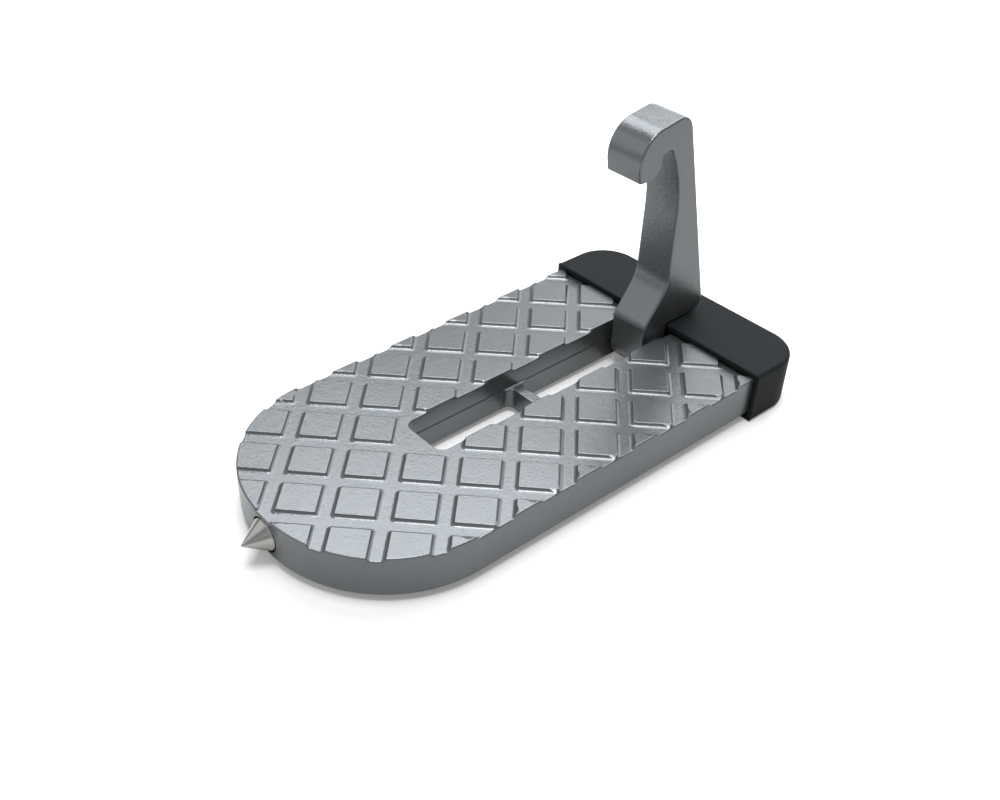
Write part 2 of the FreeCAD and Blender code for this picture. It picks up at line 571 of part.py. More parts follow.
def make_cap(doc):
    """Rubber cap: a sleeve open to the front, closed round the back of the plate."""
    body = new_body(doc, "end_cap")
    places = doc.getObject("places")
    outer_sketch = new_sketch(body, "outer_sketch", "XY_Plane")
    draw_rectangle(outer_sketch, "-places.cap_half", "places.cap_half",
                   "places.cap_front", "places.cap_rear")
    feature = add_feature(body, "Pad", "outer", outer_sketch, Length="places.cap_height")
    upright = edges_where(feature.Shape, lambda box: near(box.Center.y, places.cap_rear)
                          and near(abs(box.Center.x), places.cap_half))
    feature = dress(body, "Fillet", "back_corners", feature, upright, "Radius",
                    "places.cap_radius")
    rims = edges_where(feature.Shape, lambda box: box.ZLength < sheet_value(doc, "sizes.cap_skin")
                       and not near(box.YMax, places.cap_front))
    dress(body, "Fillet", "outer_edges", feature, rims, "Radius", "sizes.cap_edge_radius")

    inside_sketch = new_sketch(body, "inside_sketch", "XY_Plane", lift="sizes.cap_skin")
    draw_rounded_box(inside_sketch, [
        ("places.cap_inside_half - places.cap_mouth_radius",
         "places.cap_front", "places.cap_mouth_radius"),
        ("places.cap_inside_half - places.cap_inside_radius",
         "places.cap_inside_back - places.cap_inside_radius", "places.cap_inside_radius"),
        ("places.cap_inside_radius - places.cap_inside_half",
         "places.cap_inside_back - places.cap_inside_radius", "places.cap_inside_radius"),
        ("places.cap_mouth_radius - places.cap_inside_half",
         "places.cap_front", "places.cap_mouth_radius"),
    ])
    add_feature(body, "Pocket", "inside", inside_sketch, Reversed=True,
                Length="places.cap_inside_height")
    return body


def sheet_value(doc, formula):
    sheet, alias = formula.split(".")
    return float(doc.getObject(sheet).get(alias))


def check_document(doc, bodies):
    """Stop before anything is written if any object failed or any piece has a bad shape."""
    for item in doc.Objects:
        if "Invalid" in item.State or "Error" in item.State:
            raise RuntimeError(f"{item.Name} is {item.State}")
    for body in bodies:
        if body.Shape.isNull() or not body.Shape.isValid():
            raise RuntimeError(f"{body.Label} has no valid shape")
        if len(body.Shape.Solids) != 1:
            raise RuntimeError(f"{body.Label} has {len(body.Shape.Solids)} solids")


def main():
    doc = FreeCAD.newDocument("door_step")
    fill_sheet(doc, "sizes", SIZES)
    fill_sheet(doc, "places", PLACES)
    bodies = [make(doc) for make in (make_plate, make_hook, make_pin, make_tip, make_cap)]
    doc.recompute()
    check_document(doc, bodies)
    os.makedirs("parts", exist_ok=True)
    for body in bodies:
        body.Shape.exportStep(f"parts/{body.Label}.step")
        print(f"{body.Label}: {body.Shape.Volume:.1f} mm3")


main()
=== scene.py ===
import math

import bpy
import numpy as np
from mathutils import Matrix, Vector
from mathutils.geometry import delaunay_2d_cdt


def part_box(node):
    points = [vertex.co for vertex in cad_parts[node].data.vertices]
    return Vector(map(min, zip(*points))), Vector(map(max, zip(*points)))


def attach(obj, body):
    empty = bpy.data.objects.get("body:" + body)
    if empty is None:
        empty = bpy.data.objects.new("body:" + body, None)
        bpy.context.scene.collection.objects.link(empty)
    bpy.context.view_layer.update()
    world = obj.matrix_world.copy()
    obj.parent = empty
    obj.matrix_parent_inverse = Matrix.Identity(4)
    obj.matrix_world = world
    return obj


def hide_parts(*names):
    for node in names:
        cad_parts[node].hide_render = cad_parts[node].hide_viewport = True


# Looks of a folding car door step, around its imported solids. Lengths are in millimetres until
# a mesh is made, and the frame is the solids' own: +Y to the capped back, +Z up.

MM = 0.001
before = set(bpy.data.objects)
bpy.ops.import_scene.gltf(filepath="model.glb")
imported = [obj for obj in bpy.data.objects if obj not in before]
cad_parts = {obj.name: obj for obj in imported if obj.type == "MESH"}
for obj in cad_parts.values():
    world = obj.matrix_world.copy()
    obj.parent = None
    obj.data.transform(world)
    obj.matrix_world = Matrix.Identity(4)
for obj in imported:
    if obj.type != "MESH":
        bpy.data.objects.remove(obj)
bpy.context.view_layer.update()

# Camera, from the three overall lengths written beside the object in the photograph.
CAMERA_PLACE = (176.29, -163.10, 192.91)
CAMERA_HEADING = 51.43
CAMERA_TILT = 51.05
CAMERA_ROLL = -0.22
CAMERA_LENS = 41.63
CAMERA_SHIFT = (0.07, 0.04)

# Steps of the meshes: lengths along outlines, and counts round circles and edges.
RIM_SPACING = 0.2
WEB_SPACING = 0.35
HOOK_SPACING = 0.7
CAP_SPACING = 0.8
CIRCLE_STEPS = 72
CONE_STEPS = 128
FOOT_STEPS = 48
EDGE_STEPS = 5
WIDE_EDGE_STEPS = 6
CORNER_STEPS = 3
CORNER_DEGREES = 6
SHARP = 0.05

# Points are shared when they round to the same step, per millimetre and per unit of a normal.
PLACE_STEPS = 1e3
NORMAL_STEPS = 50
TOUCHING = 1e-6

# Tread plate.
FRONT_RADIUS = 35.0
BACK_RADIUS = 9.5
RIM_RADIUS = 0.45
LOWER_EDGE = 1.5
SIDE_WALL = 3.0
CEILING = 8.5
SLOT_WIDTH = 14.1
SLOT_FROM_FRONT = 46.9
SLOT_RADIUS = 2.5
SLOT_DRAFT = math.radians(1.0)
SLOT_RIM = 0.35
WEB_FROM_SLOT = 35.8
WEB_THICKNESS = 3.4
WEB_FILLET = 2.0
WEB_EDGE = 0.5
WEB_BURIED = 1.2

# Parting line of the slot's walls, and the thin casting flash on it beside the web.
PARTING_HALF = 0.22
PARTING_BULGE = 0.05
PARTING_SHOULDER = 0.7
PARTING_TILT = 0.45
FLASH_HALF = 4.2
FLASH_DEPTH = 0.6
FLASH_TILT = 2.35

# Pads of the tread. The left-out pad has the same number along both diagonals.
PAD_PITCH = 13.82
PAD_GAP = 4.5
PAD_DEPTH = 0.9
PAD_FLANK = math.radians(62.0)
PAD_FROM_FRONT = 29.7
PAD_CORNER = 0.45
PAD_TOP_RADIUS = 0.25
PAD_ROOT_RADIUS = 1.2
PAD_LEFT_OUT = 1

# Mesh lines of the tread: one on each pad, as a share of its half width, and more beside its edge.
PAD_LINE_SHARE = 0.55
PAD_EDGE_LINES = (-0.42, -0.37, -0.31, -0.25, -0.19, -0.13, -0.05,
                  0.04, 0.14, 0.26, 0.40, 0.56, 0.74, 0.98)
TREAD_MARGIN = 0.07
SLOPE_STEP = 0.004

# Hook: widths and edges, then its side outline from the foot up.
HOOK_WIDTH = 11.6
HOOK_EDGE = 0.55
HUB_RADIUS = 4.4
HUB_EDGE = 0.3
HUB_BURIED = 0.1
KNUCKLE_RADIUS = 5.6
KNUCKLE_SPACE = 0.9
PIN_FROM_BACK = 21.5
PIN_RADIUS = 2.5
FOOT_CUT = 4.3
TOE_HEIGHT = 17.3
TOE_RADIUS = 5.0
SHANK_FROM_PIN = 1.7
SHANK_FOOT = 27.5
SHANK_FOOT_RADIUS = 10.0
THROAT = 58.2
THROAT_RADIUS = 42.0
MOUTH_TOP = 69.3
MOUTH_RADIUS = 1.7
MOUTH_WIDTH = 8.8
MOUTH_LEAN = math.radians(26.0)
NOSE_BEVEL = 2.5
NOSE_BEVEL_RADIUS = 0.9
NOSE_INNER_RADIUS = 0.5
NOSE_END = 63.0
NOSE_FLAT = 4.7
NOSE_OUTER_RADIUS = 0.8
NOSE_LEAN = math.radians(10.0)
NOSE_TOP_RADIUS = 8.4
CROWN_SLOPE = math.radians(9.0)
CROWN_RADIUS = 4.5
CROWN_FROM_PIN = 1.9
BACK_LEAN = math.radians(15.2)
HEEL_RADIUS = 3.6
HEEL_FRONT_RADIUS = 0.3
HEEL_GAP = 0.3

# Hammer tip.
TIP_SEAT_RADIUS = 4.75
TIP_SEAT_DEPTH = 1.2
TIP_RADIUS = 4.3
TIP_EDGE = 0.12
TIP_POINT = 0.2
TIP_BLUNT_SHARE = 0.6
TIP_SHANK = 3.0

# Rubber cap.
CAP_SKIN = 1.45
CAP_EDGE = 1.2
CAP_LIP = 0.45
CAP_RADIUS = 11.0

# Looks: two tones of a colour, and a range of roughness.
PAINT_TONES = ((0.143, 0.151, 0.156), (0.159, 0.168, 0.174))
PAINT_ROUGHNESS = (0.25, 0.33)
PAINT_METALLIC = 0.75
RUBBER_TONES = ((0.009, 0.011, 0.012), (0.013, 0.015, 0.016))
RUBBER_ROUGHNESS = (0.55, 0.65)
RUBBER_SHINE = 0.09
STEEL_COLOUR = (0.36, 0.35, 0.335)
STEEL_ROUGHNESS = (0.14, 0.24)
TONE_SPAN = (0.3, 0.7)

# Floor: its own colour, and how white it glows for the camera near the object and far from it,
# with both distances in metres, and in shiny surfaces. The weaker glow near the object is painted
# shade round it, added to its real soft shadow.
FLOOR_COLOUR = (0.82, 0.81, 0.79)
FLOOR_SIZE = 4.0
FLOOR_GLOW_IN_PAINTED_SHADE = 0.20
FLOOR_GLOW_FAR = 1.0
PAINTED_SHADE_FULL_TO = 0.08
PAINTED_SHADE_GONE_AT = 0.16
FLOOR_GLOW_REFLECTED = 0.03

# World: its soft light, and how much of the white background shiny surfaces see.
WORLD_COLOUR = (0.97, 0.98, 1.0)
WORLD_STRENGTH = 0.17
WORLD_REFLECTED = 0.4
LAMP_COLOUR = (0.95, 0.975, 1.0)

plate_low, plate_high = (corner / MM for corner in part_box("step_plate"))
hook_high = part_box("hook")[1] / MM
cap_low, cap_high = (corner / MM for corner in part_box("end_cap"))
tip_low, tip_high = (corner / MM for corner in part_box("hammer_tip"))

MID_HEIGHT = (plate_low.z + plate_high.z) / 2
PIN_Y = plate_high.y - PIN_FROM_BACK
FOOT_FRONT = PIN_Y - KNUCKLE_RADIUS
FOOT_BACK = cap_low.y - HEEL_GAP
SLOT_FRONT = plate_low.y + SLOT_FROM_FRONT
SLOT_BACK = PIN_Y + KNUCKLE_RADIUS + KNUCKLE_SPACE
SLOT_HALF = SLOT_WIDTH / 2 + (plate_high.z - MID_HEIGHT) * math.tan(SLOT_DRAFT)

# Outlines as low X, high X, low Y, high Y, front radius and back radius.
PLATE_BOX = (plate_low.x, plate_high.x, plate_low.y, plate_high.y, FRONT_RADIUS, BACK_RADIUS)
SLOT_BOX = (-SLOT_HALF, SLOT_HALF, SLOT_FRONT, SLOT_BACK, SLOT_RADIUS, SLOT_RADIUS)
CAP_BOX = (cap_low.x, cap_high.x, cap_low.y, cap_high.y, CAP_LIP, CAP_RADIUS)


class Surface:
    """Points, normals and faces of one mesh, gathered piece by piece."""

    def __init__(self):
        self.points = []
        self.normals = []
        self.faces = []
        self.count = 0

    def add(self, points, normals, faces):
        points = np.asarray(points, float).reshape(-1, 3)
        normals = np.asarray(normals, float).reshape(-1, 3)
        self.points.append(points)
        self.normals.append(normals / np.linalg.norm(normals, axis=1, keepdims=True))
        self.faces += [[self.count + int(i) for i in face] for face in faces]
        self.count += len(points)

    def add_grid(self, rows, normals):
        """Quads between closed rows of points. Each row has as many points as the next."""
        rows = np.asarray(rows, float)
        height, width = rows.shape[:2]
        faces = []
        for row in range(height - 1):
            for step in range(width):
                ahead = (step + 1) % width
                faces.append((row * width + step, row * width + ahead,
                              (row + 1) * width + ahead, (row + 1) * width + step))
        self.add(rows, normals, faces)

    def add_flat(self, loops, normal, place):
        """Flat face inside the first loop and outside the others, all in two dimensions."""
        points, faces = fill(loops)
        self.add([place(a, b) for a, b in points], [normal] * len(points), faces)

    def add_level(self, ring, side):
        """Level face inside a ring of points. It looks up for side 1 and down for side -1."""
        height = ring[0][2]
        self.add_flat([[tuple(point[:2]) for point in ring]], (0, 0, side),
                      lambda x, y: (x, y, height))

    def add_packed(self, points, faces, normals):
        """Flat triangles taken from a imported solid."""
        for face, normal in zip(faces, normals):
            self.add(points[face], [normal] * 3, [(0, 1, 2)])

    def build(self, name, material, body):
        """Make the object. Points with the same place and normal are shared."""
        points = np.concatenate(self.points)
        normals = np.concatenate(self.normals)
        key = np.round(np.hstack([points * PLACE_STEPS, normals * NORMAL_STEPS])).astype(np.int64)
        _, first, group = np.unique(key, axis=0, return_index=True, return_inverse=True)
        group = group.reshape(-1)
        points, normals = points[first], normals[first]
        faces = []
        for face in self.faces:
            ring = [int(group[i]) for i in face]
            ring = [i for n, i in enumerate(ring) if i != ring[n - 1]]
            if len(set(ring)) == len(ring) > 2:
                faces.append(facing(ring, points, normals))
        mesh = bpy.data.meshes.new(name)
        mesh.from_pydata((points * MM).tolist(), [], faces)
        mesh.validate()
        mesh.shade_smooth()
        mesh.normals_split_custom_set_from_vertices(normals.tolist())
        mesh.materials.append(material)
        obj = bpy.data.objects.new(name, mesh)
        bpy.context.scene.collection.objects.link(obj)
        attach(obj, body)
        return obj


def facing(ring, points, normals):
    """The ring of one face, turned so that the face looks along its points' normals."""
    corners = points[ring]
    following = np.roll(corners, -1, axis=0)
    across = np.cross(corners, following).sum(axis=0)
    return ring if across @ normals[ring].sum(axis=0) >= 0 else ring[::-1]


def fill(loops):
    """Triangles between closed loops of flat points: inside an odd number of them."""
    points, edges = [], []
    for loop in loops:
        start = len(points)
        points += [Vector(point) for point in loop]
        edges += [(start + i, start + (i + 1) % len(loop)) for i in range(len(loop))]
    return triangles(points, edges, lambda middles: inside(middles, loops))


def triangles(points, edges, keep):
    """Constrained triangles of flat points, where keep says which of the middles stay."""
    found, _, faces, _, _, _ = delaunay_2d_cdt(points, edges, [], 0, TOUCHING)
    flat = np.array([tuple(point) for point in found])
    faces = np.array([face for face in faces if len(face) == 3])
    kept = keep(flat[faces].mean(axis=1))
    return flat, faces[kept]


def inside(points, loops):
    """Which points lie inside an odd number of closed loops."""
    crossings = np.zeros(len(points), int)
    for loop in loops:
        starts = np.asarray(loop, float)
        ends = np.roll(starts, -1, axis=0)
        for (x0, y0), (x1, y1) in zip(starts, ends):
            if y0 == y1:
                continue
            spans = (points[:, 1] > min(y0, y1)) & (points[:, 1] <= max(y0, y1))
            crossing = x0 + (points[:, 1] - y0) * (x1 - x0) / (y1 - y0)
            crossings += spans & (crossing > points[:, 0])
    return crossings % 2 == 1


def trace(corners, spacing):
    """Points and outward normals of a closed outline, anticlockwise, with round corners.

    Each corner is two coordinates and a radius, and spacing is the longest step.
    """
    places = [np.array(corner[:2], float) for corner in corners]
    arcs = []
    for number, place in enumerate(places):
        before = places[number - 1] - place
        after = places[(number + 1) % len(places)] - place
        before /= np.linalg.norm(before)
        after /= np.linalg.norm(after)
        turn = math.pi - math.acos(np.clip(before @ after, -1, 1))
        side = np.sign(before[0] * after[1] - before[1] * after[0])
        radius = corners[number][2]
        start = place + before * radius * math.tan(turn / 2)
        first = np.array([-before[1], before[0]])
        steps = max(CORNER_STEPS, math.ceil(turn * radius / spacing),
                    math.ceil(math.degrees(turn) / CORNER_DEGREES))
        arc = []
        for step in range(steps + 1):
            angle = -side * turn * step / steps
            normal = np.array([math.cos(angle) * first[0] - math.sin(angle) * first[1],
                               math.sin(angle) * first[0] + math.cos(angle) * first[1]])
            arc.append((start + side * (first - normal) * radius, normal))
        arcs.append(arc)
    points, normals = [], []
    for number, arc in enumerate(arcs):
        for point, normal in arc:
            points.append(point)
            normals.append(normal)
        end = arc[-1][0]
        ahead = arcs[(number + 1) % len(arcs)][0][0]
        steps = math.ceil(np.linalg.norm(ahead - end) / spacing)
        for step in range(1, steps):
            points.append(end + (ahead - end) * step / steps)
            normals.append(arc[-1][1])
    return np.array(points), np.array(normals)


def box_corners(low_x, high_x, low_y, high_y, front_radius, back_radius):
    """Corners of a box-shaped outline, for trace."""
    return [(high_x, low_y, front_radius), (high_x, high_y, back_radius),
            (low_x, high_y, back_radius), (low_x, low_y, front_radius)]


def box_depth(x, y, low_x, high_x, low_y, high_y, front_radius, back_radius):
    """How far inside a box-shaped outline each point lies, and negative outside."""
    middle_x, middle_y = (low_x + high_x) / 2, (low_y + high_y) / 2
    radius = np.where(y < middle_y, front_radius, back_radius)
    over_x = np.abs(x - middle_x) - (high_x - low_x) / 2 + radius
    over_y = np.abs(y - middle_y) - (high_y - low_y) / 2 + radius
    outside = np.hypot(np.maximum(over_x, 0), np.maximum(over_y, 0))
    return radius - outside - np.minimum(np.maximum(over_x, over_y), 0)


def lift(flat, height):
    """Flat points or normals with a third coordinate: one for all of them, or one each."""
    return np.column_stack([flat, np.broadcast_to(height, len(flat))])


def round_angles(steps):
    """Angles of a quarter turn, for the round edge between two faces."""
    return [math.pi / 2 * step / steps for step in range(steps + 1)]


def circle(steps):
    """Angles of a full turn, without its end."""
    return [2 * math.pi * step / steps for step in range(steps)]


def packed_mesh(node):
    """Points, triangles and their normals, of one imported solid."""
    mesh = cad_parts[node].data
    mesh.calc_loop_triangles()
    points = np.array([tuple(vertex.co) for vertex in mesh.vertices]) / MM
    faces = np.array([tuple(face.vertices) for face in mesh.loop_triangles])
    corners = points[faces]
    normals = np.cross(corners[:, 1] - corners[:, 0], corners[:, 2] - corners[:, 0])
    return points, faces, normals


# Tread plate


def pad_height(x, y):
    """Height of the tread against the pads' tops: 0 on a pad and -PAD_DEPTH in a groove.

    The pad that the front of the slot would cut to a corner is left out.
    """
    ahead = y - plate_low.y - PAD_FROM_FRONT
    square = []
    left_out = True
    for along in ((x + ahead) / math.sqrt(2), (ahead - x) / math.sqrt(2)):
        square.append(np.abs((along / PAD_PITCH + 0.5) % 1 - 0.5) * PAD_PITCH)
        left_out = left_out & (np.rint(along / PAD_PITCH) == PAD_LEFT_OUT)
    half = (PAD_PITCH - PAD_GAP) / 2 + PAD_DEPTH / 2 / math.tan(PAD_FLANK) - PAD_CORNER
    over = np.maximum(np.array(square) - half, 0)
    within = np.minimum(np.maximum(square[0], square[1]) - half, 0)
    height = pad_profile(np.hypot(over[0], over[1]) + within - PAD_CORNER)
    return np.where(left_out, -PAD_DEPTH, height)


def pad_profile(beyond):
    """Height across a pad's edge: round top edge, leaning flank and round root."""
    slope = math.tan(PAD_FLANK)
    reach = math.tan(PAD_FLANK / 2)
    half = PAD_DEPTH / 2 / slope
    top = -half - PAD_TOP_RADIUS * reach
    root = half + PAD_ROOT_RADIUS * reach
    flank = np.clip(-PAD_DEPTH / 2 - slope * beyond, -PAD_DEPTH, 0)
    top_arc = np.sqrt(np.maximum(PAD_TOP_RADIUS ** 2 - np.maximum(beyond - top, 0) ** 2, 0))
    root_arc = np.sqrt(np.maximum(PAD_ROOT_RADIUS ** 2 - np.maximum(root - beyond, 0) ** 2, 0))
    top_end = -half + PAD_TOP_RADIUS * reach * math.cos(PAD_FLANK)
    root_end = half - PAD_ROOT_RADIUS * reach * math.cos(PAD_FLANK)
    height = np.where(beyond < top_end, top_arc - PAD_TOP_RADIUS, flank)
    return np.where(beyond > root_end, PAD_ROOT_RADIUS - PAD_DEPTH - root_arc, height)


def pad_slope(flat):
    """Slope of the tread along X and Y, at flat points."""
    x, y = flat[:, 0], flat[:, 1]
    step = SLOPE_STEP
    along_x = (pad_height(x + step, y) - pad_height(x - step, y)) / (2 * step)
    along_y = (pad_height(x, y + step) - pad_height(x, y - step)) / (2 * step)
    return np.column_stack([along_x, along_y])


def pad_lines(low, high):
    """Places of the mesh lines along one diagonal: close together at the pads' edges."""
    half_pad = (PAD_PITCH - PAD_GAP) / 2 + PAD_DEPTH / 2 / math.tan(PAD_FLANK)
    steps = [0.0, half_pad * PAD_LINE_SHARE, PAD_PITCH / 2]
    steps += [half_pad + offset for offset in PAD_EDGE_LINES]
    lines = []
    for cell in range(math.floor(low / PAD_PITCH) - 1, math.ceil(high / PAD_PITCH) + 2):
        lines += [cell * PAD_PITCH + step for step in steps]
        lines += [cell * PAD_PITCH - step for step in steps[1:] if step != PAD_PITCH / 2]
    return np.array(sorted(line for line in lines if low <= line <= high))


def tread_grid():
    """Points where the mesh lines of both diagonals cross, clear of the round rims."""
    reach = math.hypot(plate_high.x, plate_high.y - plate_low.y)
    lines = pad_lines(-reach, reach)
    along, across = (grid.ravel() for grid in np.meshgrid(lines, lines))
    x = (along - across) / math.sqrt(2)
    y = (along + across) / math.sqrt(2) + plate_low.y + PAD_FROM_FRONT
    clear = (box_depth(x, y, *PLATE_BOX) > RIM_RADIUS + TREAD_MARGIN) & (
        box_depth(x, y, *SLOT_BOX) < -SLOT_RIM - TREAD_MARGIN)
    return np.column_stack([x[clear], y[clear]])


def on_tread(middles):
    """Which points lie inside the plate's outline and outside the slot's."""
    x, y = middles[:, 0], middles[:, 1]
    return (box_depth(x, y, *PLATE_BOX) > 0) & (box_depth(x, y, *SLOT_BOX) < 0)


def tread(surface):
    """The top of the plate, with round rims at its outer wall and at its slot.

    Returns points, outward normals and heights of the lower end of each rim.
    """
    grid = tread_grid()
    flat = [grid]
    drop = [np.zeros(len(grid))]
    normals = [lift(-pad_slope(grid), 1)]
    edges, rims = [], []
    start = len(grid)
    for box, radius, side in ((PLATE_BOX, RIM_RADIUS, 1), (SLOT_BOX, SLOT_RIM, -1)):
        points, outward = trace(box_corners(*box), RIM_SPACING)
        outward = outward * side
        for angle in round_angles(EDGE_STEPS):
            ring = points - outward * radius * (1 - math.cos(angle))
            leaning = math.cos(angle) * outward - math.sin(angle) * pad_slope(ring)
            flat.append(ring)
            drop.append(np.full(len(ring), radius * (1 - math.sin(angle))))
            normals.append(lift(leaning, math.sin(angle)))
            edges += [(start + i, start + (i + 1) % len(ring)) for i in range(len(ring))]
            start += len(ring)
        rims.append((points, outward, plate_high.z - radius + pad_height(points[:, 0], points[:, 1])))
    flat, drop, normals = (np.concatenate(part) for part in (flat, drop, normals))
    found, faces = triangles([Vector(point) for point in flat], edges, on_tread)
    if len(found) != len(flat):
        raise RuntimeError(f"the tread lost points: {len(flat)} to {len(found)}")
    height = plate_high.z + pad_height(flat[:, 0], flat[:, 1]) - drop
    surface.add(lift(flat, height), normals, faces)
    return rims


def outer_wall(surface, points, outward, rim):
    """Side of the plate, with the holes of the hammer tip and the hinge pin, and its lower edge."""
    low = plate_low.z + LOWER_EDGE
    count = len(points)
    seam = int(np.argmin(np.linalg.norm(points - np.array((plate_high.x, 0)), axis=1)))
    points, outward, rim = (np.roll(row, -seam, axis=0) for row in (points, outward, rim))
    steps = np.linalg.norm(np.roll(points, -1, axis=0) - points, axis=1)
    travel = np.concatenate([[0], np.cumsum(steps)])
    holes = [hole_loop(points, travel, 0, Vector((0, plate_low.y)), TIP_SEAT_RADIUS),
             hole_loop(points, travel, 1, Vector((plate_low.x, PIN_Y)), PIN_RADIUS)]
    upper = [(travel[i], rim[i]) for i in range(count)] + [(travel[-1], rim[0])]
    lower = [(travel[i], low) for i in range(count)] + [(travel[-1], low)]
    flat, faces = fill([upper + lower[::-1]] + holes)
    place = np.clip(np.searchsorted(travel, flat[:, 0], side="right") - 1, 0, count - 1)
    share = ((flat[:, 0] - travel[place]) / steps[place])[:, None]
    ahead = (place + 1) % count
    sides = points[place] * (1 - share) + points[ahead] * share
    normals = outward[place] * (1 - share) + outward[ahead] * share
    surface.add(lift(sides, flat[:, 1]), lift(normals, 0), faces)

    angles = round_angles(WIDE_EDGE_STEPS)
    insets = [LOWER_EDGE * (1 - math.cos(angle)) for angle in angles]
    rows, normals = [], []
    for angle, inset in zip(angles + [math.pi / 2], insets + [SIDE_WALL]):
        height = plate_low.z + LOWER_EDGE * (1 - math.sin(angle))
        rows.append(lift(points - outward * inset, height))
        normals.append(lift(math.cos(angle) * outward, -math.sin(angle)))
    surface.add_grid(rows, normals)


def hole_loop(points, travel, axis, centre, radius):
    """Loop of a round hole, as distance along the wall and height."""
    nearest = int(np.argmin(np.linalg.norm(points - np.array(centre), axis=1)))
    loop = []
    for angle in circle(CIRCLE_STEPS):
        value = centre[axis] + radius * math.cos(angle)
        height = MID_HEIGHT + radius * math.sin(angle)
        loop.append((travel_to(points, travel, nearest, axis, value), height))
    return loop


def travel_to(points, travel, nearest, axis, value):
    """Distance along the wall at which one coordinate reaches a value, near one point."""
    searched = 80
    for place in range(nearest - searched, nearest + searched):
        first = points[place % len(points)][axis]
        second = points[(place + 1) % len(points)][axis]
        if min(first, second) <= value <= max(first, second) and first != second:
            share = (value - first) / (second - first)
            start = travel[place % len(points)]
            step = travel[place % len(points) + 1] - start
            return start + share * step
    raise RuntimeError("a hole reaches past its wall")


def tip_recess(surface):
    """Round recess in the front of the plate, behind the base of the hammer tip."""
    seat = plate_low.y + TIP_SEAT_DEPTH
    half_flat = plate_high.x - FRONT_RADIUS
    mouth, floor, middle, inward = [], [], [], []
    for angle in circle(CIRCLE_STEPS):
        x = TIP_SEAT_RADIUS * math.cos(angle)
        z = MID_HEIGHT + TIP_SEAT_RADIUS * math.sin(angle)
        bend = max(abs(x) - half_flat, 0)
        front = plate_low.y + FRONT_RADIUS - math.sqrt(FRONT_RADIUS ** 2 - bend ** 2)
        mouth.append((x, front, z))
        floor.append((x, seat, z))
        middle.append((TIP_SHANK * math.cos(angle), seat, MID_HEIGHT + TIP_SHANK * math.sin(angle)))
        inward.append((-math.cos(angle), 0, -math.sin(angle)))
    surface.add_grid([mouth, floor], [inward, inward])
    surface.add_grid([floor, middle], [[(0, -1, 0)] * CIRCLE_STEPS] * 2)


def pin_mouth(surface):
    """Mouth of the hinge pin's hole, in the side where the pin goes in."""
    angles = circle(CIRCLE_STEPS)
    rows = []
    for x in (plate_low.x, plate_low.x + SIDE_WALL):
        rows.append([(x, PIN_Y + PIN_RADIUS * math.cos(a), MID_HEIGHT + PIN_RADIUS * math.sin(a))
                     for a in angles])
    inward = [(0, -math.cos(a), -math.sin(a)) for a in angles]
    surface.add_grid(rows, [inward, inward])


def slot_wall(surface, points, outward, rim):
    """Walls of the slot, drafted from a faint parting line at mid height.

    The line swells to a thin casting flash beside the web, on the wall that faces +X.
    """
    lean = math.tan(SLOT_DRAFT)
    line = PARTING_HALF
    inset = (plate_high.z - MID_HEIGHT) * lean
    near_line, off_line = inset - line * lean, inset - 2 * line * lean
    web_middle = SLOT_FRONT + WEB_FROM_SLOT + WEB_THICKNESS / 2
    flash = np.clip(FLASH_HALF - np.abs(points[:, 1] - web_middle), 0, 1) * (outward[:, 0] > 0.5)
    bulge = PARTING_BULGE + FLASH_DEPTH * flash
    tilt = PARTING_TILT + FLASH_TILT * flash
    levels = [(rim, 0.0, lean),
              (MID_HEIGHT + 2 * line, off_line, lean),
              (MID_HEIGHT + line, near_line, tilt),
              (MID_HEIGHT + line / 2, inset + bulge * PARTING_SHOULDER, tilt),
              (MID_HEIGHT, inset + bulge, tilt / 2),
              (MID_HEIGHT - line / 2, inset + bulge * PARTING_SHOULDER, -tilt),
              (MID_HEIGHT - line, near_line, -lean),
              (MID_HEIGHT - 2 * line, off_line, -lean),
              (plate_low.z, 0.0, -lean)]
    rows, normals = [], []
    for height, shift, rise in levels:
        shifts = np.broadcast_to(shift, len(points))[:, None]
        rows.append(lift(points + outward * shifts, height))
        normals.append(lift(outward, rise))
    surface.add_grid(rows, normals)


def underside(surface):
    """Ribs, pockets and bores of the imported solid, below its deck and inside its walls."""
    reach, wall_reach, slot_reach, web_depth, upright_share = 0.05, 0.1, 0.2, 0.3, 0.3
    points, faces, normals = packed_mesh("step_plate")
    depth = box_depth(points[:, 0], points[:, 1], *PLATE_BOX)
    slot_depth = box_depth(points[:, 0], points[:, 1], *SLOT_BOX)
    size = np.linalg.norm(normals, axis=1)
    upright = np.abs(normals[:, 2]) < upright_share * size
    low = (points[faces][:, :, 2] < plate_low.z + CEILING + reach).all(axis=1)
    inner = (depth[faces] > SIDE_WALL - wall_reach).all(axis=1)
    in_slot = upright & (slot_depth[faces] > -slot_reach).all(axis=1)
    on_web = (slot_depth[faces] > web_depth).any(axis=1)
    kept = low & inner & ~in_slot & ~on_web & (size > 0)
    surface.add_packed(points, faces[kept], normals[kept])


